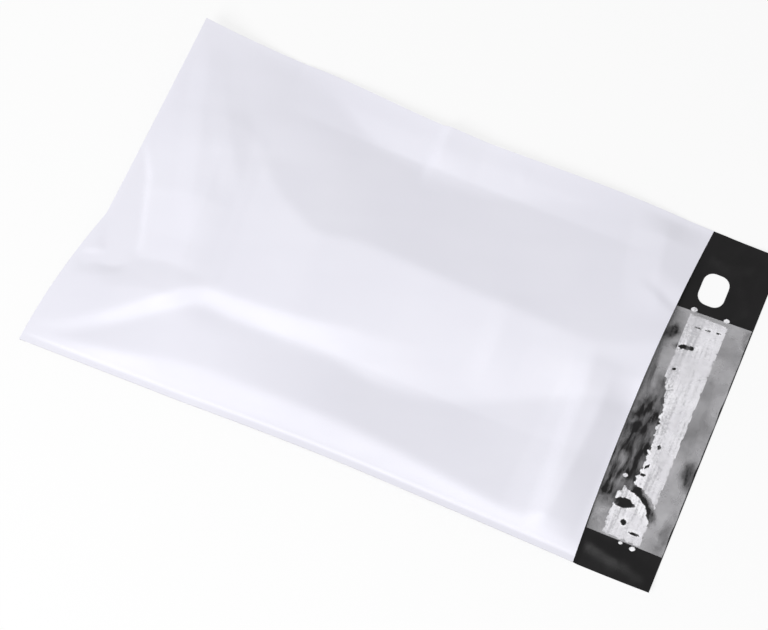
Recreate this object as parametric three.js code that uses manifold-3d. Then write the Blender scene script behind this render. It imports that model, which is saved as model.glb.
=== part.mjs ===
// Poly mailer bag lying on a table with its flap open.
// One sheet of film, white outside and black inside, is folded across the bottom and welded down
// both long sides. The back ply runs on past the mouth as the flap. On the flap lie a strip of
// adhesive and, over it, the release liner. An obround hole in the flap hangs the bag on a hook.
// X runs from the bottom fold to the flap, Y across the bag and Z up. The origin is on the table,
// under the middle of the bag. All sizes are in millimetres.
import * as THREE from 'three';
import { mergeVertices } from 'three/addons/utils/BufferGeometryUtils.js';
import Module from 'manifold-3d';

// The film
const bagWidth = 200;
const pouchLength = 300;
const flapDepth = 40;
const filmThickness = 0.1;
const weldWidth = 4;
const foldRadius = 0.6;

// How the bag lies
const puffHeight = 9.5;
const leastGap = 0.3;
const mouthBow = 3.5;
const mouthSkew = 2;
const endKink = -0.2;
const endKinkDraw = 10.8;
const endCornerDraw = 12.5;
const cornerLift = 8;
const cornerLiftReach = 110;
const flapCurl = 2;
const flapCurlWidth = 18;

// The hang hole
const holeAlong = 14;
const holeAcross = 18.5;
const holeCorner = 5.5;
const holeFromMouth = 13.5;
const holeFromSide = 31;

// The adhesive strip and the release liner
const linerThickness = 0.08;
const linerTuck = 1.5;
const linerEdgeGap = 0.6;
const linerFromHole = 4.5;
const linerFromSide = 20;
const linerSkew = 2;
const adhesiveWidth = 20.5;
const adhesiveThickness = 0.1;
const adhesiveEndGap = 1.5;
const stackGap = 0.05;

// Facets
const pouchColumns = 40;
const flapColumns = 5;
const rowsBetweenCreases = [1, 2, 3, 3, 4, 4, 2, 1];

const foldX = -(pouchLength + flapDepth) / 2;
const mouthX = foldX + pouchLength;
const flapX = mouthX + flapDepth;
const weldShare = weldWidth / (bagWidth / 2);

// Each long side is drawn in or out a little along its length: [place from the fold (0) to the
// mouth (1), how far it is drawn in].
const upperSide = [[0, -1.5], [0.23, -0.8], [0.5, 3], [0.85, 1.2], [1.13, 3]];
const lowerSide = [[0, -1.5], [0.23, 0], [0.53, 1.7], [0.77, 1.6], [1.13, 0]];

// The front ply stands in long facets between five creases that run from the fold to the mouth.
// Each point is [place along the pouch, place across it from -1 to 1, height as a share of
// puffHeight].
const lowerRidge = [
  [0, -0.94, 0.03], [0.07, -0.93, 0.1], [0.17, -0.88, 0.2], [0.27, -0.81, 0.28], [0.4, -0.8, 0.3],
  [0.57, -0.81, 0.26], [0.7, -0.85, 0.19], [0.82, -0.9, 0.13], [1, -0.94, 0.06],
];
const lowerValley = [
  [0, -0.9, 0.03], [0.05, -0.87, 0.12], [0.125, -0.72, 0.17], [0.24, -0.5, 0.3], [0.3, -0.52, 0.22],
  [0.4, -0.51, 0.15], [0.5, -0.5, 0.08], [0.58, -0.52, 0.05], [0.69, -0.475, 0.05],
  [0.77, -0.36, 0.08], [0.86, -0.2, 0.15], [1, -0.09, 0.25],
];
const shoulder = [
  [0, -0.55, 0.05], [0.05, -0.55, 0.34], [0.12, -0.53, 0.6], [0.18, -0.48, 0.73],
  [0.228, -0.415, 0.76], [0.3, -0.4, 0.7], [0.4, -0.35, 0.62], [0.5, -0.3, 0.54], [0.6, -0.28, 0.45],
  [0.7, -0.2, 0.4], [0.86, -0.03, 0.42], [1, 0, 0.46],
];
const crest = [
  [0, 0.45, 0.05], [0.07, 0.48, 0.28], [0.14, 0.5, 0.5], [0.21, 0.5, 0.61], [0.26, 0.38, 0.74],
  [0.3, 0.25, 0.88], [0.36, 0.13, 0.95], [0.45, 0.18, 0.86], [0.6, 0.17, 0.75], [0.75, 0.15, 0.68],
  [0.9, 0.14, 0.63], [1, 0.25, 0.7],
];
const upperValley = [
  [0, 0.93, 0.03], [0.07, 0.94, 0.05], [0.14, 0.94, 0.06], [0.25, 0.93, 0.05], [0.3, 0.86, 0.05],
  [0.38, 0.77, 0.04], [0.5, 0.73, 0.04], [0.6, 0.71, 0.04], [0.7, 0.79, 0.04], [0.84, 0.9, 0.04],
  [1, 0.93, 0.04],
];

// Creases that run across the others: from and to are [along, across], rise is a share of
// puffHeight and widths are the flanks left and right of the crease.
const crossFolds = [
  { from: [0.21, 0.3], to: [0.225, -0.42], rise: -0.11, widths: [9, 14] },
  { from: [0, -0.4], to: [0.23, -0.33], rise: -0.15, widths: [12, 10] },
  { from: [0.9, -0.05], to: [0.915, -0.97], rise: 0.1, widths: [20, 9] },
];

// Smooth curve through points whose first number is the position: gives their number `column`.
function curveAt(points, position, column) {
  const last = points.length - 1;
  const slope = (k) => {
    const before = points[Math.max(k - 1, 0)];
    const after = points[Math.min(k + 1, last)];
    return (after[column] - before[column]) / (after[0] - before[0]);
  };
  let k = 0;
  while (k < last - 1 && position > points[k + 1][0]) k += 1;
  const span = points[k + 1][0] - points[k][0];
  const t = THREE.MathUtils.clamp((position - points[k][0]) / span, 0, 1);
  const start = (1 + 2 * t) * (1 - t) ** 2 * points[k][column];
  const end = t * t * (3 - 2 * t) * points[k + 1][column];
  const bend = t * (1 - t) ** 2 * slope(k) - t * t * (1 - t) * slope(k + 1);
  return start + end + span * bend;
}

// How far the bottom fold is drawn in: from nothing at its lower end it bows in to the kink, and
// then goes on nearly straight to its upper end.
function endDraw(across) {
  const below = (endKink - across) / (1 + endKink);
  if (below > 0) return endKinkDraw * Math.max(1 - below, 0) ** 1.6;
  const above = (across - endKink) / (1 - endKink);
  return endKinkDraw + (endCornerDraw - endKinkDraw) * above;
}

// Where a place on the sheet lies on the table. along is 0 at the fold, 1 at the mouth and 2 at
// the flap's outer edge.
function plan(along, across) {
  const fold = foldX + endDraw(across);
  const lip = mouthX + mouthSkew * (across + 1) / 2 - mouthBow * (1 - across * across);
  const onFlap = Math.max(along - 1, 0);
  const x = along < 1 ? fold + along * (lip - fold) : lip + onFlap * (flapX - lip);
  const side = across > 0 ? upperSide : lowerSide;
  const place = Math.min(along, 1) + onFlap * flapDepth / pouchLength;
  const y = across * (bagWidth / 2 - curveAt(side, place, 1));
  return [x, y];
}

const upperCorner = plan(0, 1);

// How far the back ply is off the table: it lifts at the upper corner of the fold, and the flap
// curls up at its two outer corners.
function backHeight(along, across) {
  const [x, y] = plan(along, across);
  const away = Math.hypot(x - upperCorner[0], y - upperCorner[1]) / cornerLiftReach;
  const lift = cornerLift * Math.max(1 - away, 0) ** 2;
  const onFlap = Math.max(along - 1, 0);
  const nearSide = Math.max(Math.abs(y) - (bagWidth / 2 - flapCurlWidth), 0) / flapCurlWidth;
  return lift + flapCurl * onFlap ** 2 * nearSide ** 2;
}

// Height that one cross fold adds at a place on the front ply.
function foldRise(fold, along, across) {
  const [x, y] = plan(along, across);
  const [fromX, fromY] = plan(...fold.from);
  const [toX, toY] = plan(...fold.to);
  const length = Math.hypot(toX - fromX, toY - fromY);
  const [runX, runY] = [(toX - fromX) / length, (toY - fromY) / length];
  const run = ((x - fromX) * runX + (y - fromY) * runY) / length;
  if (run <= 0 || run >= 1) return 0;
  const off = (y - fromY) * runX - (x - fromX) * runY;
  const width = off > 0 ? fold.widths[0] : fold.widths[1];
  const flank = Math.max(1 - Math.abs(off) / width, 0);
  return puffHeight * fold.rise * flank * Math.sin(Math.PI * run);
}

// The grid's rows at one column of the pouch: the creases, the welds' inner lines, the side edges
// and the rows between them, as [across, gap between the plies].
function pouchRows(along) {
  const creases = [lowerRidge, lowerValley, shoulder, crest, upperValley];
  const lines = [
    [-1, 0],
    [-1 + weldShare, 0],
    ...creases.map((line) => [curveAt(line, along, 1), puffHeight * curveAt(line, along, 2)]),
    [1 - weldShare, 0],
    [1, 0],
  ];
  const rows = [];
  rowsBetweenCreases.forEach((count, k) => {
    const [start, end] = [lines[k], lines[k + 1]];
    for (let step = 0; step < count; step += 1) {
      const share = step / count;
      rows.push([0, 1].map((n) => start[n] + (end[n] - start[n]) * share));
    }
  });
  rows.push(lines.at(-1));
  return rows.map(([across, gap]) => {
    const folds = crossFolds.reduce((sum, fold) => sum + foldRise(fold, along, across), 0);
    return [across, gap > 0 ? Math.max(gap + folds, leastGap) : 0];
  });
}

// The rows at one column of the flap: they spread out evenly towards its outer edge.
function flapRows(along) {
  const rows = pouchRows(1);
  return rows.map(([across], j) => {
    const even = 2 * j / (rows.length - 1) - 1;
    return [across + (even - across) * (along - 1), 0];
  });
}

// The sheet as one closed shell. Each column holds four layers: the front ply's outside and
// inside and the back ply's inside and outside. The two insides share their points where the
// plies meet, at the fold and along the welds.
function sheetGeometry() {
  const columns = [0, foldRadius / pouchLength];
  for (let k = 1; k <= pouchColumns; k += 1) columns.push(k / pouchColumns);
  const mouth = columns.length - 1;
  for (let k = 1; k <= flapColumns; k += 1) columns.push(1 + k / flapColumns);
  const end = columns.length - 1;
  const rows = rowsBetweenCreases.reduce((sum, count) => sum + count, 0);

  const points = [];
  const addPoint = (x, y, z) => points.push(x, y, z) / 3 - 1;
  const rowsAt = (along) => (along > 1 ? flapRows(along) : pouchRows(along));
  const layers = columns.map((along, i) => rowsAt(along).map(([across, gap], j) => {
    const [x, y] = plan(along, across);
    const back = backHeight(along, across);
    const open = i <= 1 ? 0 : gap;
    const front = back + 2 * filmThickness + open;
    const backIn = addPoint(x, y, back + filmThickness);
    const joined = i <= 1 || j <= 1 || j >= rows - 1;
    return {
      backOut: addPoint(x, y, back),
      backIn,
      frontIn: joined || i > mouth ? backIn : addPoint(x, y, front - filmThickness),
      frontOut: i > mouth ? backIn : addPoint(x, y, front),
    };
  }));

  const triangles = [];
  const face = (...corners) => {
    for (let k = 2; k < corners.length; k += 1) triangles.push(corners[0], corners[k - 1], corners[k]);
  };
  const grid = (layer, columnRange, rowRange, facingUp) => {
    for (let i = columnRange[0]; i < columnRange[1]; i += 1) {
      for (let j = rowRange[0]; j < rowRange[1]; j += 1) {
        const ring = [[i, j], [i + 1, j], [i + 1, j + 1], [i, j + 1]];
        const corners = ring.map(([a, b]) => layers[a][b][layer]);
        face(...(facingUp ? corners : corners.reverse()));
      }
    }
  };
  grid('frontOut', [0, mouth], [0, rows], true);
  grid('frontIn', [1, mouth], [1, rows - 1], false);
  grid('backIn', [1, mouth], [1, rows - 1], true);
  grid('backIn', [mouth, end], [0, rows], true);
  grid('backOut', [0, end], [0, rows], false);

  // The edge of the front ply at the mouth, the fold and the flap's outer edge
  for (let j = 0; j < rows; j += 1) {
    const [lip, lipNext] = [layers[mouth][j], layers[mouth][j + 1]];
    face(lip.frontOut, lip.frontIn, lipNext.frontIn, lipNext.frontOut);
    const [fold, foldNext] = [layers[0][j], layers[0][j + 1]];
    face(fold.backOut, fold.frontOut, foldNext.frontOut, foldNext.backOut);
    const [edge, edgeNext] = [layers[end][j], layers[end][j + 1]];
    face(edge.backOut, edgeNext.backOut, edgeNext.backIn, edge.backIn);
  }

  // The cut edges of the two long sides
  const sideFace = (j, corners) => face(...(j === 0 ? corners : corners.reverse()));
  for (const j of [0, rows]) {
    for (let i = 0; i < end; i += 1) {
      const [here, next] = [layers[i][j], layers[i + 1][j]];
      if (i < mouth - 1) sideFace(j, [here.backOut, next.backOut, next.frontOut, here.frontOut]);
      if (i === mouth - 1) {
        sideFace(j, [here.backOut, next.backOut, next.backIn, next.frontOut, here.frontOut]);
      }
      if (i >= mouth) sideFace(j, [here.backOut, next.backOut, next.backIn, here.backIn]);
    }
  }

  const geometry = new THREE.BufferGeometry();
  geometry.setAttribute('position', new THREE.Float32BufferAttribute(points, 3));
  geometry.setIndex(triangles);
  return geometry;
}

// Rectangle with rounded corners around a centre.
function roundedRectangle(centreX, centreY, sizeX, sizeY, radius) {
  const shape = new THREE.Shape();
  const corners = [[1, -1, -0.5], [1, 1, 0], [-1, 1, 0.5], [-1, -1, 1]];
  corners.forEach(([signX, signY, quarter]) => {
    const x = centreX + signX * (sizeX / 2 - radius);
    const y = centreY + signY * (sizeY / 2 - radius);
    shape.absarc(x, y, radius, quarter * Math.PI, (quarter + 0.5) * Math.PI, false);
  });
  return shape;
}

function plate(shape, bottom, thickness, curveSegments = 8) {
  const options = { depth: thickness, bevelEnabled: false, curveSegments };
  return new THREE.ExtrudeGeometry(shape, options).translate(0, 0, bottom);
}

const wasm = await Module();
wasm.setup();

function toSolid(geometry) {
  const bare = geometry.clone();
  bare.deleteAttribute('normal');
  bare.deleteAttribute('uv');
  const merged = mergeVertices(bare, 1e-5);
  const vertProperties = new Float32Array(merged.attributes.position.array);
  const triVerts = new Uint32Array(merged.index.array);
  return new wasm.Manifold(new wasm.Mesh({ numProp: 3, vertProperties, triVerts }));
}

function fromSolid(solid) {
  const mesh = solid.getMesh();
  const geometry = new THREE.BufferGeometry();
  geometry.setAttribute('position', new THREE.BufferAttribute(mesh.vertProperties, 3));
  geometry.setIndex(new THREE.BufferAttribute(mesh.triVerts, 1));
  geometry.computeVertexNormals();
  return geometry;
}

const holeX = mouthX + holeFromMouth;
const holeY = bagWidth / 2 - holeFromSide - upperSide.at(-1)[1];

// The folded sheet with the hang hole punched through its flap
function bagFilm() {
  const hole = roundedRectangle(holeX, holeY, holeAlong, holeAcross, holeCorner);
  const reach = flapCurl + filmThickness;
  const punch = plate(hole, -reach, 3 * reach);
  return fromSolid(toSolid(sheetGeometry()).subtract(toSolid(punch)));
}

// Where the liner lies on the flap: its inner edge is tucked just under the front ply's lip
const linerInnerX = mouthX - mouthBow - linerTuck;
const linerOuterX = flapX - linerEdgeGap;
const linerLowerY = -bagWidth / 2 + linerFromSide;
const linerUpperY = holeY - holeAcross / 2 - linerFromHole;

// The liner: a straight strip whose upper end is cut a little out of square
function releaseLiner() {
  const shape = new THREE.Shape([
    new THREE.Vector2(linerInnerX, linerLowerY),
    new THREE.Vector2(linerOuterX, linerLowerY),
    new THREE.Vector2(linerOuterX, linerUpperY),
    new THREE.Vector2(linerInnerX, linerUpperY - linerSkew),
  ]);
  const bottom = filmThickness + adhesiveThickness + 2 * stackGap;
  return plate(shape, bottom, linerThickness);
}

// The adhesive: a straight coat with a long bite out of its inner edge and bare places in it
function adhesiveStrip() {
  const middleX = (linerInnerX + linerOuterX) / 2;
  const innerX = middleX - adhesiveWidth / 2;
  const outerX = middleX + adhesiveWidth / 2;
  const lowerY = linerLowerY + adhesiveEndGap / 2;
  const upperY = linerUpperY - linerSkew - adhesiveEndGap / 2;
  const at = (share) => lowerY + (upperY - lowerY) * share;
  const biteX = innerX + adhesiveWidth * 0.27;
  const shape = new THREE.Shape();
  shape.moveTo(outerX, lowerY);
  shape.lineTo(outerX, upperY);
  shape.lineTo(innerX, upperY);
  shape.lineTo(innerX, at(0.68));
  shape.bezierCurveTo(innerX, at(0.62), biteX, at(0.6), biteX, at(0.52));
  shape.lineTo(biteX, at(0.25));
  shape.quadraticCurveTo(biteX, at(0.2), innerX, at(0.2));
  shape.lineTo(innerX, lowerY);
  const bare = (x, share, sizeX, sizeY) => {
    const path = new THREE.Path();
    path.absellipse(innerX + x, at(share), sizeX / 2, sizeY / 2, 0, 2 * Math.PI);
    shape.holes.push(path);
  };
  bare(6, 0.15, 10, 5);
  bare(9, 0.07, 3, 3.5);
  bare(6, 0.86, 9, 2.4);
  const crescent = new THREE.Path();
  crescent.moveTo(innerX + 7.5, at(0.22));
  crescent.quadraticCurveTo(outerX - 1, at(0.225), outerX - 0.8, at(0.12));
  crescent.quadraticCurveTo(outerX - 7, at(0.19), innerX + 7.5, at(0.22));
  shape.holes.push(crescent);
  return plate(shape, filmThickness + stackGap, adhesiveThickness);
}

function finish(color, roughness) {
  return new THREE.MeshStandardMaterial({ color, roughness, metalness: 0 });
}

const mailer = new THREE.Group();
const pieces = [
  ['bag_film', bagFilm(), finish(0xe9e9f0, 0.3)],
  ['adhesive_strip', adhesiveStrip(), finish(0xdcdcdc, 0.55)],
  ['release_liner', releaseLiner(), finish(0x8f8f92, 0.25)],
];
for (const [name, geometry, material] of pieces) {
  const mesh = new THREE.Mesh(geometry, material);
  mesh.name = name;
  mailer.add(mesh);
}

export default mailer;
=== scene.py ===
# %% [markdown]
# # A poly mailer bag
#
# A poly mailer is a postal bag made of one long sheet of plastic film. The film is white outside
# and black inside. It is folded across the bottom, welded down both long sides, and its back ply
# runs on past the mouth as a flap with a strip of adhesive under a release liner.
#
# The shape of such a bag is nearly all creases, so most of this lesson is about laying a sheet over
# a few crease lines, and about light that glides over them.

import math

import bpy
import numpy as np
from mathutils import Matrix, Vector, noise


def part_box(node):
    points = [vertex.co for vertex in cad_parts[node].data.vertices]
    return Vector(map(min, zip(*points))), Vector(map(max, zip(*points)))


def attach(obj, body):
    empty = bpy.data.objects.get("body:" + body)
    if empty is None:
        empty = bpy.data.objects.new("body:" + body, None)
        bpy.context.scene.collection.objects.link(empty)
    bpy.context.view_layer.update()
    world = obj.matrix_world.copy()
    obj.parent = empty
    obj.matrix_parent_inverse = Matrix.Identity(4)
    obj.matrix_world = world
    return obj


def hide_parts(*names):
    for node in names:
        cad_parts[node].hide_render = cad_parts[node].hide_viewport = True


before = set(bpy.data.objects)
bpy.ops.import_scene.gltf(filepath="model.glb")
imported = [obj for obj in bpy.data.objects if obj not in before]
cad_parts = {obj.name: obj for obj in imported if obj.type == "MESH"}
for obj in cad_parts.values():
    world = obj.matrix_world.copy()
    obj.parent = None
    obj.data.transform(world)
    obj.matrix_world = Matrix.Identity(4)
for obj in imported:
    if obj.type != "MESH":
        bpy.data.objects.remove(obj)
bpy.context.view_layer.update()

# %% [markdown]
# ## Sizes
#
# All shapes below are worked out in millimetres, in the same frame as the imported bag: X runs from
# the bottom fold to the flap, Y across the bag and Z up from the table. The overall sizes are taken
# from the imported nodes, so that the dressed bag always fits them.

# %% Sizes of the bag, in millimetres
MM = 0.001
film_low, film_high = (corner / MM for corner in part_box("bag_film"))
FOLD_X = film_low.x
FLAP_X = film_high.x
FLAP_DEPTH = 40.0
MOUTH_X = FLAP_X - FLAP_DEPTH
HALF_WIDTH = 100.0
FILM = 0.1
WELD = 4.0
PUFF = 9.5
POUCH = MOUTH_X - FOLD_X
FAR_AWAY = 1e9
print(f"fold at {FOLD_X:.1f}, mouth at {MOUTH_X:.1f}, flap edge at {FLAP_X:.1f} mm")

# %% [markdown]
# ## A smooth curve through a few points
#
# Every long line of the bag, such as an edge or a crease, is a short list of points. A cubic curve
# through them gives the line at any place. The curve takes the slope at each point from its two
# neighbours, which is the usual way to draw a flowing line through given points.


# %% Curves
def curve(points, place, column=1):
    """The value in `column` of the points' smooth curve, at each place (their first number)."""
    at = np.array([point[0] for point in points], float)
    value = np.array([point[column] for point in points], float)
    slope = np.empty_like(value)
    slope[1:-1] = (value[2:] - value[:-2]) / (at[2:] - at[:-2])
    slope[0] = (value[1] - value[0]) / (at[1] - at[0])
    slope[-1] = (value[-1] - value[-2]) / (at[-1] - at[-2])
    k = np.clip(np.searchsorted(at, place, side="right") - 1, 0, len(at) - 2)
    span = at[k + 1] - at[k]
    t = np.clip((place - at[k]) / span, 0, 1)
    start = (1 + 2 * t) * (1 - t) ** 2 * value[k]
    end = t * t * (3 - 2 * t) * value[k + 1]
    bend = t * (1 - t) ** 2 * slope[k] - t * t * (1 - t) * slope[k + 1]
    return start + end + span * bend


# %% [markdown]
# ## The outline on the table
#
# A filled or handled bag draws its edges in where the film puffs up, so no edge is quite straight.
# A place on the sheet has two numbers: `along` is 0 at the fold, 1 at the mouth and 2 at the flap's
# outer edge, and `across` is -1 at the lower long side and 1 at the upper. The plan below turns them
# into X and Y.

# %% Outline
# Each long side: how far along the pouch, and how far it is drawn in there, in mm
UPPER_SIDE = [[0, -1.5], [0.15, -1.45], [0.25, -0.7], [0.5, 4.1], [0.85, 1.8], [1.13, 3]]
LOWER_SIDE = [[0, -1.5], [0.23, 0], [0.53, 1.3], [0.77, 0.6], [1.13, 0]]
# The bottom fold's kink: its place across, and how far the fold is drawn in there and at its end
END_KINK, END_KINK_DRAW, END_CORNER_DRAW = -0.2, 10.8, 12.5
END_CURVE = 1.8
MOUTH_BOW, MOUTH_SKEW = 3.5, 2.0


def end_draw(across):
    """How far the bottom fold is drawn in, from its lower end (-1) to its upper end (1)."""
    below = np.clip((END_KINK - across) / (1 + END_KINK), 0, 1)
    above = np.clip((across - END_KINK) / (1 - END_KINK), 0, 1)
    drawn = END_KINK_DRAW + (END_CORNER_DRAW - END_KINK_DRAW) * above
    return np.where(across < END_KINK, END_KINK_DRAW * (1 - below) ** END_CURVE, drawn)


def plan(along, across):
    """X and Y on the table, in millimetres."""
    along, across = np.broadcast_arrays(np.asarray(along, float), np.asarray(across, float))
    fold = FOLD_X + end_draw(across)
    lip = MOUTH_X + MOUTH_SKEW * (across + 1) / 2 - MOUTH_BOW * (1 - across**2)
    on_pouch = np.clip(along, 0, 1)
    on_flap = np.clip(along - 1, 0, 1)
    x = fold + on_pouch * (lip - fold) + on_flap * (FLAP_X - lip)
    place = on_pouch + on_flap * FLAP_DEPTH / POUCH
    drawn = np.where(across > 0, curve(UPPER_SIDE, place), curve(LOWER_SIDE, place))
    return x, across * (HALF_WIDTH - drawn)


corners = [plan(along, across) for along in (0, 2) for across in (-1, 1)]
print("corners on the table:", [(round(float(x), 1), round(float(y), 1)) for x, y in corners])

# %% [markdown]
# ## The back ply
#
# The back ply carries the bag. It lies flat on the table except at the upper corner of the fold,
# which bends up, along its two long sides, which stand a little off the table, and at the outer
# corners of the flap, which curl. Film bends along straight lines, so the lift of the fold's corner
# depends only on how far a place lies in the direction of the bend.

# %% Height of the back ply
CORNER_LIFT, CORNER_REACH = 8.0, 62.0
BEND_X, BEND_Y = -0.94, 0.34
FLAP_CURL, FLAP_CURL_WIDTH = 2.0, 18.0
# Each long side's lift: height and width in mm, where along the pouch it starts and how far it
# runs, and a power below 1, which flattens its middle
UPPER_LIFT = (3.8, 28.0, 0.2, 0.75, 0.7)
LOWER_LIFT = (3.6, 54.0, 0.3, 0.74, 0.8)
CORNER_X, CORNER_Y = (float(value) for value in plan(0, 1))


def side_lift(along, from_edge, height, width, start, length, power):
    """Lift of one long side, highest at its edge and in the middle of its stretch."""
    stretch = np.sin(np.pi * np.clip((along - start) / length, 0, 1)) ** power
    return height * stretch * np.clip(1 - from_edge / width, 0, 1)


def back_height(along, x, y):
    """Height of the back ply's underside above the table."""
    away = ((CORNER_X - x) * BEND_X + (CORNER_Y - y) * BEND_Y) / CORNER_REACH
    lift = CORNER_LIFT * np.clip(1 - away, 0, 1) ** 2
    lift = lift + side_lift(along, HALF_WIDTH - y, *UPPER_LIFT)
    lift = lift + side_lift(along, HALF_WIDTH + y, *LOWER_LIFT)
    near_side = np.clip(np.abs(y) - (HALF_WIDTH - FLAP_CURL_WIDTH), 0, None) / FLAP_CURL_WIDTH
    return lift + FLAP_CURL * np.clip(along - 1, 0, 1) ** 2 * near_side**2


# %% [markdown]
# ## The five long creases
#
# The front ply stands off the back ply in long facets, as film does that was once folded and filled.
# Five crease lines run from the fold to the mouth, and the film is stretched straight from one to
# the next. Each point gives the place along the pouch, the place across it and the gap between the
# plies as a share of the puff.

# %% Long creases
LOWER_RIDGE = [
    [0, -0.93, 0.01], [0.07, -0.92, 0.08], [0.12, -0.9, 0.17], [0.17, -0.875, 0.24],
    [0.27, -0.81, 0.29], [0.4, -0.8, 0.32], [0.57, -0.81, 0.31], [0.7, -0.84, 0.3],
    [0.82, -0.88, 0.28], [1, -0.92, 0.12],
]
LOWER_VALLEY = [
    [0, -0.92, 0.01], [0.05, -0.89, 0.03], [0.1, -0.81, 0.06], [0.15, -0.7, 0.14],
    [0.2, -0.57, 0.28], [0.24, -0.49, 0.4], [0.3, -0.49, 0.35], [0.4, -0.49, 0.26], [0.5, -0.49, 0.15],
    [0.58, -0.52, 0.05], [0.69, -0.475, 0.04], [0.77, -0.38, 0.05], [0.86, -0.24, 0.11],
    [1, -0.1, 0.2],
]
SHOULDER = [
    [0, -0.87, 0.02], [0.05, -0.82, 0.12], [0.1, -0.71, 0.24], [0.15, -0.59, 0.42], [0.2, -0.46, 0.63],
    [0.24, -0.4, 0.71], [0.3, -0.39, 0.7], [0.4, -0.37, 0.64], [0.5, -0.31, 0.52],
    [0.6, -0.27, 0.38], [0.7, -0.17, 0.38], [0.86, -0.02, 0.49], [1, 0.02, 0.55],
]
CREST = [
    [0, 0.42, 0.03], [0.07, 0.5, 0.22], [0.14, 0.52, 0.4], [0.2, 0.43, 0.62], [0.25, 0.28, 0.77],
    [0.3, 0.19, 0.83], [0.36, 0.11, 0.87], [0.45, 0.15, 0.82], [0.6, 0.14, 0.74],
    [0.75, 0.13, 0.68], [0.9, 0.13, 0.64], [1, 0.25, 0.7],
]
UPPER_VALLEY = [
    [0, 0.93, 0.01], [0.07, 0.93, 0.02], [0.14, 0.92, 0.03], [0.25, 0.91, 0.03], [0.3, 0.85, 0.03],
    [0.38, 0.75, 0.03], [0.5, 0.71, 0.03], [0.6, 0.7, 0.03], [0.7, 0.78, 0.03],
    [0.84, 0.9, 0.03], [1, 0.93, 0.04],
]
WELD_SHARE = WELD / HALF_WIDTH


def long_facets(along, across):
    """Gap between the plies on a grid whose columns each have one `along`, in millimetres."""
    edges = [(np.full(len(along), place), 0 * along) for place in (-1, -1 + WELD_SHARE)]
    ends = [(np.full(len(along), place), 0 * along) for place in (1 - WELD_SHARE, 1)]
    creases = [LOWER_RIDGE, LOWER_VALLEY, SHOULDER, CREST, UPPER_VALLEY]
    lines = [(curve(line, along, 1), PUFF * curve(line, along, 2)) for line in creases]
    places, heights = (np.stack(part, 1) for part in zip(*edges, *lines, *ends))
    return np.stack([np.interp(across, places[i], heights[i]) for i in range(len(along))])


# %% [markdown]
# ## Softening
#
# Film bends round a crease instead of breaking at it. Each pass below mixes every point with its
# neighbours, which rounds a sharp line over about the same distance as thick film does.


# %% Soften a grid
def soften(grid, passes):
    """Mixes each point of the grid with its neighbours."""
    for _ in range(passes):
        padded = np.pad(grid, 1, mode="edge")
        grid = (padded[:-2, 1:-1] + 2 * padded[1:-1, 1:-1] + padded[2:, 1:-1]) / 4
        padded = np.pad(grid, 1, mode="edge")
        grid = (padded[1:-1, :-2] + 2 * padded[1:-1, 1:-1] + padded[1:-1, 2:]) / 4
    return grid


# %% [markdown]
# ## Folds across the facets
#
# Short folds cross the long facets: the film was bent there once and remembers it. Each is a line on
# the table with a rise, two flanks and a length over which each end fades. A narrow flank that faces
# the lamp shows as a bright line, and a wide flank that faces away shows as a soft grey band, so the
# two widths draw most of what the eye reads as crumpled film. A negative rise makes a groove.

# %% Cross folds
# Points x, y of the line, rise, width of its left and of its right flank as seen along the line,
# and how far it fades at its start and at its end, all in mm
CROSS_FOLDS = [
    ([(-100, 66), (-94, 22), (-91, -5), (-87, -62)], -1.3, 40, 17, 28, 24),
    ([(-124, 60), (-117, 22), (-114, -5), (-108, -66)], 1.7, 15, 34, 26, 36),
    ([(-168, -50), (-152, -45), (-142, -40), (-136, -36)], -1, 5, 9, 12, 10),
    ([(-156, -47), (-138, -38), (-120, -34), (-92, -36)], -2, 40, 17, 18, 22),
    ([(-168, 38), (-156, 15), (-150, 5), (-139, -31), (-136, -38)], -2.4, 3.5, 15, 14, 8),
    ([(101, 14), (103, -30), (105, -60), (107, -112)], 2.3, 22, 6, 30, 60),
    ([(113, 8), (113, -30), (111, -60), (108, -112)], 3.8, 16, 24, 30, 56),
    ([(-152, 98), (-145, 76), (-113, -22)], 0.7, 12, 10, 30, 30),
    ([(-138, 86), (-128, 60), (-94, 5)], 0.6, 12, 10, 30, 30),
    ([(29, 115), (31, 78)], 0.7, 4, 9, 12, 12),
    ([(53, 24), (51, -38)], 0.9, 16, 9, 30, 30),
    ([(106, 120), (112, 72), (122, 34)], 1.8, 24, 18, 24, 24),
    ([(105, 59), (140, 42)], -0.7, 9, 4, 14, 14),
]
# A crease pressed through both plies and the upper weld, in the same form
EDGE_CREASE = ([(-14.5, 125), (-16, 58)], 1.9, 22, 4, 30, 26)


def fold_rise(x, y, line, rise, left, right, start_fade, stop_fade):
    """Height that one cross fold adds, in millimetres."""
    points = np.array(line, float)
    steps = np.hypot(*np.diff(points, axis=0).T)
    length = steps.sum()
    nearest = np.full(x.shape, FAR_AWAY)
    off = np.zeros(x.shape)
    run = np.zeros(x.shape)
    for k, step in enumerate(steps):
        run_x, run_y = (points[k + 1] - points[k]) / step
        forward = np.clip((x - points[k, 0]) * run_x + (y - points[k, 1]) * run_y, 0, step)
        gone_x, gone_y = x - points[k, 0] - forward * run_x, y - points[k, 1] - forward * run_y
        away = np.hypot(gone_x, gone_y)
        closer = away < nearest
        side = np.sign((y - points[k, 1]) * run_x - (x - points[k, 0]) * run_y)
        nearest = np.where(closer, away, nearest)
        off = np.where(closer, side * away, off)
        run = np.where(closer, steps[:k].sum() + forward, run)
    flank = np.clip(1 - nearest / np.where(off > 0, left, right), 0, 1)
    from_end = np.clip(np.minimum(run / start_fade, (length - run) / stop_fade), 0, 1)
    return rise * flank * from_end**2 * (3 - 2 * from_end)


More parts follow.
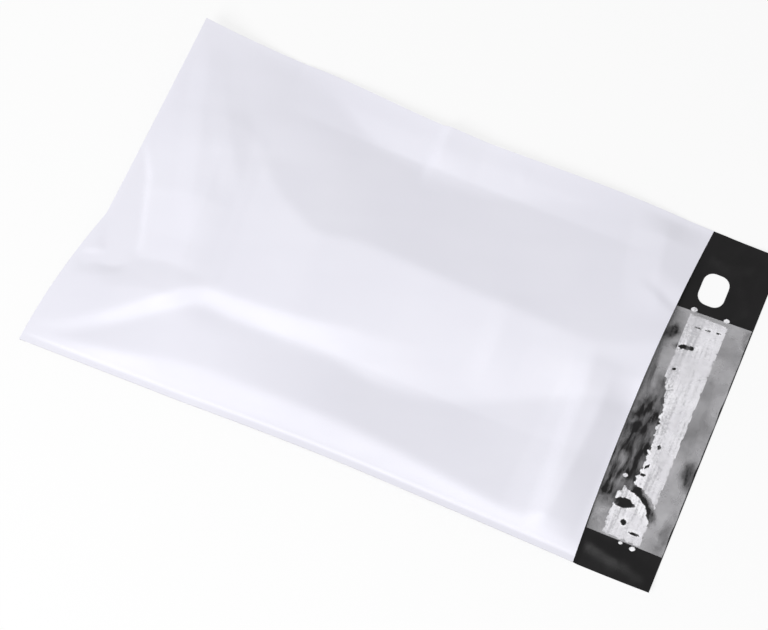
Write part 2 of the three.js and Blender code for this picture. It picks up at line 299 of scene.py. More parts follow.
# %% [markdown]
# ## The front ply on a fine grid
#
# The facets and the folds are worked out on a grid of about 1.4 mm, softened, and given a faint
# waviness, because film never lies perfectly flat. The folds fade out and the plies draw together
# towards the welds and the bottom fold, where they meet.

# %% Front ply
GRID = 1.4
LEAST_GAP = 0.25
WAVE_HEIGHT, WAVE_SIZE = 0.12, 28.0
STREAK_HEIGHT, STREAK_WIDTH, STREAK_STRETCH, STREAK_LEAN = 0.07, 9.0, 6.0, 20.0
FOLDS_FROM_WELD, FOLDS_FROM_END = 11.0, 8.0
OPEN_FROM_WELD, OPEN_FROM_END, END_TAPER = 8.0, 3.0, 2.0
along_pouch = np.linspace(0, 1, int(POUCH / GRID) + 1)
across_all = np.unique(np.r_[np.linspace(-1, 1, int(2 * HALF_WIDTH / GRID) + 1), WELD_SHARE - 1])
along_grid, across_grid = np.meshgrid(along_pouch, across_all, indexing="ij")
pouch_x, pouch_y = plan(along_grid, across_grid)


def waves(x, y, size, seed):
    """Gentle waviness between about -1 and 1, with humps about `size` millimetres across."""
    shape = np.shape(x)
    places = zip(np.ravel(x) / size, np.ravel(y) / size)
    heights = [noise.noise((float(a), float(b), seed)) for a, b in places]
    return np.array(heights).reshape(shape)


def streaks(x, y, seed):
    """Fine long waves that run a little upwards to the right, as film is drawn in handling."""
    lean = math.radians(STREAK_LEAN)
    down_line = x * math.cos(lean) + y * math.sin(lean)
    off_line = y * math.cos(lean) - x * math.sin(lean)
    return waves(down_line / STREAK_STRETCH, off_line, STREAK_WIDTH, seed)


gap = soften(long_facets(along_pouch, across_all), passes=3)
from_weld = HALF_WIDTH * (1 - np.abs(across_grid)) - WELD
from_end = POUCH * along_grid
inside = np.clip(from_weld / FOLDS_FROM_WELD, 0, 1) * np.clip(from_end / FOLDS_FROM_END, 0, 1)
for fold in CROSS_FOLDS:
    gap = gap + inside * fold_rise(pouch_x, pouch_y, *fold)
gap = gap + inside * WAVE_HEIGHT * waves(pouch_x, pouch_y, WAVE_SIZE, seed=3.0)
gap = gap + inside * STREAK_HEIGHT * streaks(pouch_x, pouch_y, seed=8.0)
gap = soften(gap, passes=1)
free = np.clip(from_weld / OPEN_FROM_WELD, 0, 1) * np.clip(from_end / OPEN_FROM_END, 0, 1)
gap = np.maximum(gap * np.clip(from_end / END_TAPER, 0, 1), LEAST_GAP * free)
gap = np.where(free > 0, gap, 0)
pouch_back = back_height(along_grid, pouch_x, pouch_y) + fold_rise(pouch_x, pouch_y, *EDGE_CREASE)
front_top = pouch_back + 2 * FILM + gap
print(f"front ply: {gap.shape[0]} by {gap.shape[1]} points, highest {front_top.max():.2f} mm")

# %% [markdown]
# ## From a grid to a closed plate
#
# Film has two faces and a cut edge. The helper below makes both faces from an upper and a lower grid
# of points, leaves out the cells that are not kept, and closes every open edge with a narrow wall.
# Faces carry a material number, so the outside can be white while the inside is black.


# %% Plates from grids
SHARP_ANGLE = math.radians(50)


def plate(x, y, top, bottom, keep=None, slots=(0, 1, 2)):
    """Points and quads of a closed plate. slots are the materials of its top, bottom and edges."""
    count_x, count_y = x.shape
    keep = np.ones((count_x - 1, count_y - 1), bool) if keep is None else keep
    number = np.arange(count_x * count_y).reshape(count_x, count_y)
    ring = [number[:-1, :-1], number[1:, :-1], number[1:, 1:], number[:-1, 1:]]
    cells = np.stack([corner[keep] for corner in ring], -1)
    open_to = np.pad(~keep, 1, constant_values=True)
    beyond = [open_to[1:-1, :-2], open_to[2:, 1:-1], open_to[1:-1, 2:], open_to[:-2, 1:-1]]
    under = count_x * count_y
    quads, numbers = [cells, cells[:, ::-1] + under], [slots[0], slots[1]]
    for k in range(4):
        at_edge = keep & beyond[k]
        start, stop = ring[k][at_edge], ring[(k + 1) % 4][at_edge]
        quads.append(np.stack([start, start + under, stop + under, stop], -1))
        numbers.append(slots[2])
    points = np.concatenate(
        [np.stack([x, y, height], -1).reshape(-1, 3) for height in (top, bottom)]
    )
    slot_of = np.concatenate([np.full(len(part), n) for part, n in zip(quads, numbers)])
    quads = np.concatenate(quads)
    used, quads = np.unique(quads, return_inverse=True)
    return points[used], quads.reshape(-1, 4), slot_of


def make_mesh(name, parts, materials):
    """One object from several plates, in metres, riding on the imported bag."""
    points, quads, slot_of, base = [], [], [], 0
    for part_points, part_quads, part_slots in parts:
        points.append(part_points)
        quads.append(part_quads + base)
        slot_of.append(part_slots)
        base += len(part_points)
    points, quads = np.concatenate(points) * MM, np.concatenate(quads)
    mesh = bpy.data.meshes.new(name)
    mesh.from_pydata(points.tolist(), [], quads.tolist())
    for material in materials:
        mesh.materials.append(material)
    mesh.polygons.foreach_set("material_index", np.concatenate(slot_of).astype(np.int32))
    mesh.polygons.foreach_set("use_smooth", np.ones(len(quads), bool))
    mesh.set_sharp_from_angle(angle=SHARP_ANGLE)
    mesh.update()
    piece = bpy.data.objects.new(name, mesh)
    bpy.context.scene.collection.objects.link(piece)
    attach(piece, "root")
    print(f"{name}: {len(points)} points, {len(quads)} faces")
    return piece


# %% [markdown]
# ## Node helpers
#
# A material is a graph of nodes. These helpers add a node with its settings in one line and join
# two sockets, so that each finish below reads as a short recipe.


# %% Material helpers
def new_material(name):
    material = bpy.data.materials.new(name)
    material.use_nodes = True
    return material, material.node_tree


def add(tree, kind, **settings):
    node = tree.nodes.new(kind)
    for key, value in settings.items():
        setattr(node, key, value)
    return node


def join(tree, source, target):
    tree.links.new(source, target)


def grey(level):
    return (level, level, level)


def shades(tree, source, *stops):
    """A ramp from dark to light stops, each (place, colour)."""
    ramp = add(tree, "ShaderNodeValToRGB")
    stop_list = ramp.color_ramp.elements
    while len(stop_list) < len(stops):
        stop_list.new(0.5)
    for element, (place, colour) in zip(stop_list, stops):
        element.position = place
        element.color = (*colour, 1)
    join(tree, source, ramp.inputs["Fac"])
    return ramp.outputs["Color"]


def cloud(tree, size, detail=3, stretch=(1, 1, 1)):
    """Soft random patches about `size` millimetres across, in the object's own space."""
    place = add(tree, "ShaderNodeTexCoord")
    scale = add(tree, "ShaderNodeMapping")
    scale.inputs["Scale"].default_value = stretch
    patches = add(tree, "ShaderNodeTexNoise")
    patches.inputs["Scale"].default_value = 1 / (size * MM)
    patches.inputs["Detail"].default_value = detail
    join(tree, place.outputs["Object"], scale.inputs["Vector"])
    join(tree, scale.outputs["Vector"], patches.inputs["Vector"])
    return patches.outputs["Fac"]


def bump(tree, source, height, strength=0.5):
    """Fine relief, `height` in millimetres."""
    relief = add(tree, "ShaderNodeBump")
    relief.inputs["Strength"].default_value = strength
    relief.inputs["Distance"].default_value = height * MM
    join(tree, source, relief.inputs["Height"])
    return relief.outputs["Normal"]


# %% [markdown]
# ## White film
#
# The outside is white polyethylene: a dense pigment in a clear skin, so it has an even cool white
# body with a soft shine. The colour wanders very slightly, the shine is broken by handling marks,
# and a very fine relief comes from the way that film is blown.

# %% White film
film_white, tree = new_material("white_film")
skin = tree.nodes["Principled BSDF"]
skin.inputs["IOR"].default_value = 1.5
body = shades(tree, cloud(tree, 60), (0.3, (0.82, 0.815, 0.895)), (0.7, (0.845, 0.84, 0.915)))
join(tree, body, skin.inputs["Base Color"])
marks = cloud(tree, 18, detail=5, stretch=(1, 2.5, 1))
join(tree, shades(tree, marks, (0.3, grey(0.3)), (0.75, grey(0.42))), skin.inputs["Roughness"])
join(tree, bump(tree, cloud(tree, 5, detail=4), height=0.03, strength=0.35), skin.inputs["Normal"])

# %% [markdown]
# ## Black film
#
# The inside of the film is black, so that nobody can read what is posted. It is the same film, so
# it has the same shine, and against black every small ripple shows in the reflections.

# %% Black film
film_black, tree = new_material("black_film")
skin = tree.nodes["Principled BSDF"]
skin.inputs["IOR"].default_value = 1.42
soot = shades(tree, cloud(tree, 20), (0.3, (0.002, 0.0017, 0.002)), (0.7, (0.0045, 0.0038, 0.0045)))
join(tree, soot, skin.inputs["Base Color"])
marks = cloud(tree, 9, detail=5, stretch=(2, 1, 1))
join(tree, shades(tree, marks, (0.3, grey(0.26)), (0.75, grey(0.42))), skin.inputs["Roughness"])
join(tree, bump(tree, cloud(tree, 7, detail=4), height=0.12, strength=0.4), skin.inputs["Normal"])

# %% [markdown]
# The cut edge shows both layers at once, so it is a mottled dark grey with little shine.

# %% Cut edge
film_edge, tree = new_material("cut_edge")
skin = tree.nodes["Principled BSDF"]
skin.inputs["Roughness"].default_value = 0.6
mottled = shades(tree, cloud(tree, 6), (0.3, (0.06, 0.06, 0.065)), (0.7, (0.16, 0.155, 0.17)))
join(tree, mottled, skin.inputs["Base Color"])
print("film finishes:", [m.name for m in (film_white, film_black, film_edge)])

# %% [markdown]
# ## The back ply and the flap
#
# The back ply runs on as the flap, with the hang hole near one end. The cells inside the hole are
# left out, and the points round them are moved onto its outline, which gives a clean cut edge. The
# flap was crumpled a little at its ends, so ripples and a few small folds there catch the light, and
# they fade out towards the pouch and the liner.

# %% Back ply, flap and hang hole
FLAP_GRID, BACK_GRID = 1.25, 1.6
BACK_STEP, CREASE_REACH = 3, 0.1
RIPPLE_HEIGHT, RIPPLE_SIZE = 0.3, 11.0
RIPPLES_START, RIPPLES_GROW, LINER_MARGIN = 1.02, 0.1, 6.0
HOLE_X, HOLE_Y = MOUTH_X + 13.5, 66.0
HOLE_HALF_X, HOLE_HALF_Y, HOLE_CORNER = 7.0, 9.25, 5.5
HOLE_MOVES = 4
LINER_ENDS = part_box("release_liner")[0].y / MM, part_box("release_liner")[1].y / MM
# Small folds of the flap, in the same form as the cross folds
FLAP_FOLDS = [
    ([(128, -84), (142, -87), (154, -92)], 1.0, 4, 7, 6, 6),
    ([(146, -84), (158, -90), (171, -94)], 1.1, 4, 7, 6, 6),
    ([(153, 78), (161, 70), (167, 58)], 0.7, 5, 5, 6, 6),
    ([(131, 86), (146, 84), (165, 89)], 0.8, 4.5, 7, 7, 7),
]


def outside_hole(x, y):
    """Distance outside the rounded outline of the hang hole, negative inside it."""
    reach_x = np.abs(x - HOLE_X) - (HOLE_HALF_X - HOLE_CORNER)
    reach_y = np.abs(y - HOLE_Y) - (HOLE_HALF_Y - HOLE_CORNER)
    beyond = np.hypot(np.maximum(reach_x, 0), np.maximum(reach_y, 0))
    return beyond + np.minimum(np.maximum(reach_x, reach_y), 0) - HOLE_CORNER


def rim_points(kept):
    """The grid points that touch both kept and left-out cells."""
    cells = np.pad(kept, 1, constant_values=True)
    round_point = np.stack([cells[:-1, :-1], cells[1:, :-1], cells[:-1, 1:], cells[1:, 1:]])
    return round_point.any(0) & ~round_point.all(0)


def move_to_hole(x, y, chosen):
    """Moves the chosen points onto the hole's outline, down the slope of their distance from it."""
    step = 0.01
    for _ in range(HOLE_MOVES):
        away = outside_hole(x, y)
        slope_x = (outside_hole(x + step, y) - away) / step
        slope_y = (outside_hole(x, y + step) - away) / step
        x = np.where(chosen, x - away * slope_x, x)
        y = np.where(chosen, y - away * slope_y, y)
    return x, y


def cell_middle(grid):
    """The mean of each cell's four corners."""
    return (grid[:-1, :-1] + grid[1:, :-1] + grid[1:, 1:] + grid[:-1, 1:]) / 4


# Under the pouch every third column of the front ply's grid is enough, except round the edge crease
crease_along = (EDGE_CREASE[0][0][0] - FOLD_X) / POUCH
near_crease = np.abs(along_pouch - crease_along) < CREASE_REACH
wanted = near_crease | (np.arange(len(along_pouch)) % BACK_STEP == 0)
along_flap = np.linspace(1, 2, int(FLAP_DEPTH / FLAP_GRID) + 1)
along_back = np.r_[along_pouch[:-1][wanted[:-1]], along_flap]
across_back = np.linspace(-1, 1, int(2 * HALF_WIDTH / BACK_GRID) + 1)
back_along, back_across = np.meshgrid(along_back, across_back, indexing="ij")
back_x, back_y = plan(back_along, back_across)
kept = outside_hole(cell_middle(back_x), cell_middle(back_y)) > 0
back_x, back_y = move_to_hole(back_x, back_y, rim_points(kept))
crumple = RIPPLE_HEIGHT * waves(back_x, back_y, RIPPLE_SIZE, seed=7.0)
for fold in FLAP_FOLDS:
    crumple = crumple + fold_rise(back_x, back_y, *fold)
from_liner = np.maximum(back_y - LINER_ENDS[1], LINER_ENDS[0] - back_y)
past_mouth = np.clip((back_along - RIPPLES_START) / RIPPLES_GROW, 0, 1)
bare_flap = past_mouth * np.clip(from_liner / LINER_MARGIN, 0, 1)
crumple = soften(np.maximum(crumple, 0), passes=1) * bare_flap
back_bottom = back_height(back_along, back_x, back_y) + crumple
back_bottom = back_bottom + fold_rise(back_x, back_y, *EDGE_CREASE)
back_plate = plate(back_x, back_y, back_bottom + FILM, back_bottom, kept, slots=(1, 0, 2))
front_plate = plate(pouch_x, pouch_y, front_top, front_top - FILM, slots=(0, 1, 2))
film = make_mesh("mailer_film", [front_plate, back_plate], [film_white, film_black, film_edge])
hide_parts("bag_film")

# %% [markdown]
# ## The adhesive
#
# The adhesive is a strip of whitish glue on the flap. Its inner edge was bitten away where the liner
# was once lifted, and there are bare places where the black film shows through. Each bare place is
# real: its cells are left out of the plate.

# %% Adhesive strip
adhesive_low, adhesive_high = (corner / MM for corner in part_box("adhesive_strip"))
ADHESIVE_GRID = 0.5
COAT_GAP, COAT_THICKNESS, COAT_RELIEF, COAT_RELIEF_SIZE = 0.05, 0.1, 0.03, 3.0
# Size of the bits along a ragged edge, how far each edge wanders, and what two of them lose, in mm
RAG_SIZE, INNER_RAG, END_RAG, OUTER_RAG, BARE_RAG = 2.2, 1.6, 0.8, 0.5, 0.35
END_TRIM, OUTER_TRIM = 0.3, 0.2
# Bare places: x, y of the middle, length along X and along Y, turn in degrees
BARE_PLACES = [
    (142, -60.5, 10.5, 5.5, 10),
    (145.5, -70, 3.2, 3.4, 0),
    (141.5, 30.5, 9.5, 2.6, 12),
    (152.5, -74, 6, 1.6, 0),
    (143, -14, 2.4, 1.2, 30),
    (146, -38, 3.6, 1.4, 60),
    (145.5, -43, 2.8, 1.6, 20),
    (148, -26, 1.6, 3, 0),
    (140, 17, 2.2, 1.2, 15),
    (143, 43, 3.4, 0.9, 8),
    (148.5, 43.6, 3.2, 0.9, 8),
    (154, 44.4, 2.6, 0.9, 8),
]
# A bare crescent along this line, with a tapered tip, in mm
CRESCENT = [(142, -51), (148, -52.5), (153, -55.5), (156.5, -60), (157.6, -65.5)]
CRESCENT_REACH, CRESCENT_RAG, CRESCENT_TIP, CRESCENT_TAPER = 2.3, 0.5, -66.5, 4.0
# How deep the inner edge is bitten away: y, depth
BITE = [[-58, 0], [-53, 2.5], [-48, 6.2], [-30, 6.8], [-12, 5.6], [-2, 4.6], [5, 2.6], [12, 0]]


def ellipse(x, y, middle_x, middle_y, length_x, length_y, turn):
    """Below 1 inside the ellipse."""
    turned = math.radians(turn)
    local_x = (x - middle_x) * math.cos(turned) + (y - middle_y) * math.sin(turned)
    local_y = (y - middle_y) * math.cos(turned) - (x - middle_x) * math.sin(turned)
    return np.hypot(2 * local_x / length_x, 2 * local_y / length_y)


def from_line(x, y, line):
    """Distance from a line of points."""
    nearest = np.full(np.shape(x), FAR_AWAY)
    for (x0, y0), (x1, y1) in zip(line, line[1:]):
        step = math.hypot(x1 - x0, y1 - y0)
        run_x, run_y = (x1 - x0) / step, (y1 - y0) / step
        forward = np.clip((x - x0) * run_x + (y - y0) * run_y, 0, step)
        nearest = np.minimum(nearest, np.hypot(x - x0 - forward * run_x, y - y0 - forward * run_y))
    return nearest


coat_x, coat_y = np.meshgrid(
    np.arange(adhesive_low.x, adhesive_high.x + ADHESIVE_GRID / 2, ADHESIVE_GRID),
    np.arange(adhesive_low.y, adhesive_high.y + ADHESIVE_GRID / 2, ADHESIVE_GRID),
    indexing="ij",
)
cell_x, cell_y = cell_middle(coat_x), cell_middle(coat_y)
ragged = waves(cell_x, cell_y, RAG_SIZE, seed=11.0)
from_inner = cell_x - adhesive_low.x
from_ends = np.minimum(cell_y - adhesive_low.y, adhesive_high.y - cell_y)
from_outer = adhesive_high.x - cell_x
coated = from_inner + INNER_RAG * ragged > curve(BITE, cell_y)
coated &= from_ends + END_RAG * ragged > END_TRIM
coated &= from_outer + OUTER_RAG * ragged > OUTER_TRIM
for place in BARE_PLACES:
    coated &= ellipse(cell_x, cell_y, *place) + BARE_RAG * ragged > 1
crescent_reach = CRESCENT_REACH * np.clip((cell_y - CRESCENT_TIP) / CRESCENT_TAPER, 0, 1)
coated &= from_line(cell_x, cell_y, CRESCENT) + CRESCENT_RAG * ragged > crescent_reach
coat_bottom = np.full(coat_x.shape, FILM + COAT_GAP)
coat_relief = COAT_RELIEF * waves(coat_x, coat_y, COAT_RELIEF_SIZE, seed=5.0)
coat_top = coat_bottom + COAT_THICKNESS + coat_relief
# Loose bits of adhesive at the strip's corners and by the bite: x, y, diameter. The fourth sinks
# 0.02 mm into a ripple of the flap
GLUE_DOTS = [(138, 52, 3.4), (155.5, 52.5, 3), (137.6, -46.5, 2.6), (154.5, -81.5, 3), (148, -80.8, 2)]
DOT_POINTS, DOT_SQUASH, DOT_TURN, DOT_RIM, DOT_DOME = 21, 0.8, 25, 0.03, 0.14


def glue_dot(dot):
    """A small domed drop of adhesive."""
    middle_x, middle_y, width = dot
    span = np.linspace(-width, width, DOT_POINTS)
    x, y = np.meshgrid(middle_x + span, middle_y + span, indexing="ij")
    from_middle = ellipse(x, y, middle_x, middle_y, width, DOT_SQUASH * width, DOT_TURN)
    bottom = np.full(x.shape, FILM + COAT_GAP)
    top = bottom + DOT_RIM + DOT_DOME * np.sqrt(np.clip(1 - from_middle**2, 0, 1))
    return plate(x, y, top, bottom, cell_middle(from_middle) < 1, (0, 0, 0))


print(f"adhesive covers {coated.mean():.0%} of its strip")

# %% [markdown]
# Dried adhesive is milky. Streaks run along it from the coating roller, fine cracks cross it, and
# it is whitest towards its outer edge. Its milkiness is a sum of these, and a ramp turns the sum
# into a colour.

# %% Adhesive finish
STREAK_SHARE, SPECK_SHARE, OUTER_SHARE, CRACK_SHARE, LEAST_MILK = 1.1, 0.6, 0.16, 0.14, 0.14


def cracks(tree, size, width, stretch=(1, 1, 1)):
    """Dark hairlines between cells about `size` millimetres across, 0 in a crack and 1 beside it."""
    place = add(tree, "ShaderNodeTexCoord")
    scale = add(tree, "ShaderNodeMapping")
    scale.inputs["Scale"].default_value = stretch
    cells = add(tree, "ShaderNodeTexVoronoi", feature="DISTANCE_TO_EDGE")
    cells.inputs["Scale"].default_value = 1 / (size * MM)
    join(tree, place.outputs["Object"], scale.inputs["Vector"])
    join(tree, scale.outputs["Vector"], cells.inputs["Vector"])
    line = add(tree, "ShaderNodeMapRange")
    line.inputs["From Max"].default_value = width
    join(tree, cells.outputs["Distance"], line.inputs["Value"])
    return line.outputs["Result"]


def math_node(tree, operation, *values):
    """A math node fed with numbers or sockets."""
    node = add(tree, "ShaderNodeMath", operation=operation)
    for place, value in enumerate(values):
        if isinstance(value, (int, float)):
            node.inputs[place].default_value = value
        else:
            join(tree, value, node.inputs[place])
    return node.outputs["Value"]


glue, tree = new_material("milky_adhesive")
skin = tree.nodes["Principled BSDF"]
rolled = cloud(tree, 1.9, detail=5, stretch=(1, 0.07, 1))
specks = cloud(tree, 1.1, detail=6)
position = add(tree, "ShaderNodeTexCoord")
axes = add(tree, "ShaderNodeSeparateXYZ")
join(tree, position.outputs["Object"], axes.inputs["Vector"])
outwards = add(tree, "ShaderNodeMapRange")
outwards.inputs["From Min"].default_value = adhesive_low.x * MM
outwards.inputs["From Max"].default_value = adhesive_high.x * MM
join(tree, axes.outputs["X"], outwards.inputs["Value"])
milk = math_node(tree, "MULTIPLY", specks, SPECK_SHARE)
milk = math_node(tree, "MULTIPLY_ADD", rolled, STREAK_SHARE, milk)
milk = math_node(tree, "MULTIPLY_ADD", outwards.outputs["Result"], OUTER_SHARE, milk)
fine_cracks = cracks(tree, 2.6, width=0.05, stretch=(1, 0.8, 1))
crackled = math_node(tree, "MULTIPLY", fine_cracks, cracks(tree, 7, width=0.03))
milk = math_node(tree, "MULTIPLY_ADD", crackled, CRACK_SHARE, milk)
milk = math_node(tree, "SUBTRACT", milk, LEAST_MILK)
tone = shades(tree, milk, (0.7, (0.44, 0.44, 0.46)), (0.84, (0.78, 0.775, 0.8)),
              (0.97, (0.95, 0.945, 0.975)))
join(tree, tone, skin.inputs["Base Color"])
skin.inputs["Roughness"].default_value = 0.5
join(tree, bump(tree, crackled, height=0.08, strength=0.6), skin.inputs["Normal"])
coat = plate(coat_x, coat_y, coat_top, coat_bottom, coated, (0, 0, 0))
adhesive = make_mesh("adhesive_coat", [coat, *map(glue_dot, GLUE_DOTS)], [glue])
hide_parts("adhesive_strip")

# %% [markdown]
# ## The release liner
#
# The liner is thin translucent film. Over black film it looks grey, because its haze scatters light,
# and where it clings to the black film the haze is wetted out and it looks nearly black. Its outer
# edge is wavy from being peeled and laid back.

# %% Release liner
liner_low, liner_high = (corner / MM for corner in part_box("release_liner"))
LINER_GRID = 1.0
LINER_SKEW = 2.0
LINER_GAP, LINER_THICKNESS = 0.22, 0.04
LINER_WAVE, LINER_WAVE_SIZE = 0.25, 16.0
EDGE_WAVE, EDGE_WAVE_SIZE, EDGE_SHARE = 0.5, 9.0, 0.2
# The liner lies flat under the pouch's lip, up to LIP_X, and rises to its waves over LIP_FADE. A fault
# is left here: it doesn't follow the back ply, which is lifted under the lip, so at x 125 to 129 and
# y -79 to -58 it passes through that ply and comes out up to 0.34 mm below it
LIP_X, LIP_FADE = 131.0, 3.0
CLING_REACH, CLING_RAG, CLING_FADE = 1.3, 0.3, 0.6
BARE_GROWTH, BARE_MARGIN, BARE_CLING = 1.2, 0.8, 0.95
CRESCENT_PATCH = (150, -57.5, 18, 6, -43)
# Where it clings: x, y of the middle, length along X and along Y, turn in degrees, and how closely
CLINGING = [
    (136.5, -31, 20, 76, -3, 0.8),
    (132, -50, 10, 20, -12, 0.8),
    (132, 36, 6, 10, -25, 0.6),
    (131, 4, 2.5, 44, 4, 0.5),
    (169, 46, 5, 10, 0, 0.4),
    (167.5, -34, 9, 17, 10, 0.62),
    (167, -67, 6, 17, 0, 0.5),
    (161, -6, 14, 44, 8, 0.25),
    (133, -70, 9, 22, 0, 0.12),
]
# It also clings over each bare place of the adhesive, and a little beyond its edge
for x, y, size_x, size_y, turn in [*BARE_PLACES, CRESCENT_PATCH]:
    grown_x, grown_y = (BARE_GROWTH * size + BARE_MARGIN for size in (size_x, size_y))
    CLINGING.append((x, y, grown_x, grown_y, turn, BARE_CLING))
share_x, share_y = np.meshgrid(
    np.linspace(0, 1, int((liner_high.x - liner_low.x) / LINER_GRID) + 1),
    np.linspace(0, 1, int((liner_high.y - liner_low.y) / LINER_GRID) + 1),
    indexing="ij",
)
liner_x = liner_low.x + share_x * (liner_high.x - liner_low.x)
upper_end = liner_high.y - LINER_SKEW * (1 - share_x)
liner_y = liner_low.y + share_y * (upper_end - liner_low.y)
near_edge = np.clip(share_x - (1 - EDGE_SHARE), 0, EDGE_SHARE)
edge_wave = waves(liner_x * 0, liner_y, EDGE_WAVE_SIZE, seed=2.0) * near_edge / EDGE_SHARE
liner_x = liner_x + EDGE_WAVE * edge_wave
clinging = np.zeros(liner_x.shape)
# The patches' edges wander in large steps, with half as much again in small ones
patch_edge = waves(liner_x, liner_y, 5, seed=4.0) + 0.5 * waves(liner_x, liner_y, 1.8, seed=9.0)
for *patch, closeness in CLINGING:
    depth = CLING_REACH - ellipse(liner_x, liner_y, *patch) + CLING_RAG * patch_edge
    clinging = np.maximum(clinging, closeness * np.clip(depth / CLING_FADE, 0, 1))
liner_wave = LINER_WAVE + LINER_WAVE * waves(liner_x, liner_y, LINER_WAVE_SIZE, seed=6.0)
under_lip = np.clip((LIP_X - liner_x) / LIP_FADE, 0, 1)
lift_off = (1 - clinging) * liner_wave * (1 - under_lip)
liner_bottom = FILM + LINER_GAP + lift_off
liner_top = liner_bottom + LINER_THICKNESS

# %% [markdown]
# The haze is a thin white scattering mixed with clear film. How closely the liner clings is stored
# on its points, so the shader can thin the haze out there, all the more along fine scratches.

# %% Liner finish
HAZE_CONTRAST, LEAST_HAZE = 0.4, 0.07
CLING_CLEARS, SCRATCH_CLEARS = 0.55, -0.5
haze, tree = new_material("translucent_liner")
skin = tree.nodes["Principled BSDF"]
skin.inputs["IOR"].default_value = 1.45
cling = add(tree, "ShaderNodeAttribute", attribute_name="clinging")
scratches = cloud(tree, 2.2, detail=5, stretch=(1, 0.25, 1))
cleared = math_node(tree, "MULTIPLY_ADD", scratches, SCRATCH_CLEARS, CLING_CLEARS)
cleared = math_node(tree, "MULTIPLY", cling.outputs["Fac"], cleared)
patchy = math_node(tree, "MULTIPLY_ADD", cloud(tree, 14, detail=4), HAZE_CONTRAST, LEAST_HAZE)
join(tree, math_node(tree, "SUBTRACT", patchy, cleared), skin.inputs["Alpha"])
pale = shades(tree, cloud(tree, 9), (0.3, (0.82, 0.81, 0.84)), (0.7, (0.92, 0.91, 0.94)))
join(tree, pale, skin.inputs["Base Color"])
marks = cloud(tree, 6)
join(tree, shades(tree, marks, (0.3, grey(0.24)), (0.7, grey(0.4))), skin.inputs["Roughness"])
join(tree, bump(tree, cloud(tree, 6), height=0.2, strength=0.5), skin.inputs["Normal"])
liner_plate = plate(liner_x, liner_y, liner_top, liner_bottom, slots=(0, 0, 0))
liner = make_mesh("liner_film", [liner_plate], [haze])
stored = liner.data.attributes.new("clinging", "FLOAT", "POINT")
stored.data.foreach_set("value", np.concatenate([clinging.ravel()] * 2).astype(np.float32))
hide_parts("release_liner")

# %% [markdown]
# ## Floor, light and camera
#
# The bag lies on a plain pale floor. To the camera, three quarters of the floor's light is its own
# white glow, so it comes out nearly white and keeps a faint shadow of the bag.

# %% Floor
FLOOR_SIZE, FLOOR_DROP, FLOOR_GLOW = 12.0, 0.0003, 0.75
bpy.ops.mesh.primitive_plane_add(size=FLOOR_SIZE, location=(0, 0, -FLOOR_DROP))
floor = bpy.context.object
floor.name = "floor"
paper, tree = new_material("pale_floor")
skin = tree.nodes["Principled BSDF"]
skin.inputs["Roughness"].default_value = 0.9
skin.inputs["Specular IOR Level"].default_value = 0.1
tone = shades(tree, cloud(tree, 300), (0.3, grey(0.9)), (0.7, grey(0.92)))
join(tree, tone, skin.inputs["Base Color"])
glow = add(tree, "ShaderNodeEmission")
seen = add(tree, "ShaderNodeLightPath")
blend = add(tree, "ShaderNodeMixShader")
join(tree, math_node(tree, "MULTIPLY", seen.outputs["Is Camera Ray"], FLOOR_GLOW), blend.inputs["Fac"])
join(tree, skin.outputs["BSDF"], blend.inputs[1])
join(tree, glow.outputs["Emission"], blend.inputs[2])
join(tree, blend.outputs["Shader"], tree.nodes["Material Output"].inputs["Surface"])
floor.data.materials.append(paper)

# %% [markdown]
# A large soft lamp low on the near side rakes over the creases, a soft box overhead puts a shine on
# the slopes that tip towards the camera, and the white world fills the shadows. Together they light
# a level white surface at about its own colour.

# %% World
WORLD_STRENGTH = 0.49
world = bpy.data.worlds.new("studio")
world.use_nodes = True
sky = world.node_tree.nodes["Background"]
sky.inputs["Color"].default_value = (1, 1, 1, 1)
sky.inputs["Strength"].default_value = WORLD_STRENGTH
bpy.context.scene.world = world


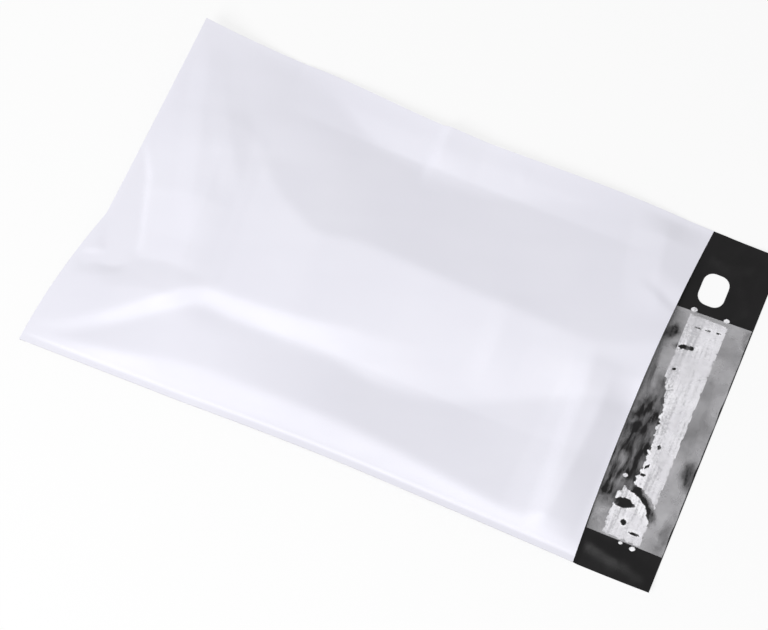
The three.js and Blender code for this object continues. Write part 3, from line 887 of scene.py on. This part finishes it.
# %% Lamps
def soft_lamp(name, direction, distance, size, watts):
    """A square area lamp that shines at the bag from a direction, with lengths in metres."""
    lamp = bpy.data.lights.new(name, "AREA")
    lamp.shape = "SQUARE"
    lamp.size = size
    lamp.energy = watts
    stand = bpy.data.objects.new(name, lamp)
    aim = Vector(direction).normalized()
    stand.location = aim * distance
    stand.rotation_mode = "QUATERNION"
    stand.rotation_quaternion = aim.to_track_quat("Z", "Y")
    bpy.context.scene.collection.objects.link(stand)


soft_lamp("near_lamp", direction=(-0.33, -0.78, 0.55), distance=2.0, size=0.9, watts=25.4)
soft_lamp("overhead_box", direction=(-0.1, -0.16, 0.98), distance=1.6, size=0.7, watts=4.3)

# %% [markdown]
# The camera stands where the photograph was taken from: high above the near side of the bag, a
# little turned, with a long lens that keeps the long sides almost parallel.

# %% Camera
AZIMUTH, ELEVATION, ROLL = (math.radians(angle) for angle in (17.242, 66.6141, 6.0278))
TARGET = Vector((-6.4551, -14.9384, 0)) * MM
DISTANCE = 1.45
SENSOR, IMAGE_WIDTH, FOCAL_PIXELS = 36.0, 768, 2846.6
to_camera = Vector((
    math.sin(AZIMUTH) * math.cos(ELEVATION),
    -math.cos(AZIMUTH) * math.cos(ELEVATION),
    math.sin(ELEVATION),
))
level_right = Vector((math.cos(AZIMUTH), math.sin(AZIMUTH), 0))
level_up = to_camera.cross(level_right)
right = math.cos(ROLL) * level_right + math.sin(ROLL) * level_up
up = -math.sin(ROLL) * level_right + math.cos(ROLL) * level_up
lens = bpy.data.cameras.new("camera")
lens.sensor_fit = "HORIZONTAL"
lens.sensor_width = SENSOR
lens.lens = FOCAL_PIXELS * SENSOR / IMAGE_WIDTH
lens.clip_start, lens.clip_end = 0.05, 50
camera = bpy.data.objects.new("camera", lens)
turn = Matrix((right, up, to_camera)).transposed().to_4x4()
camera.matrix_world = Matrix.Translation(TARGET + to_camera * DISTANCE) @ turn
bpy.context.scene.collection.objects.link(camera)
bpy.context.scene.camera = camera
bpy.context.scene.view_settings.view_transform = "Standard"
print(f"lens {lens.lens:.1f} mm at {DISTANCE} m")
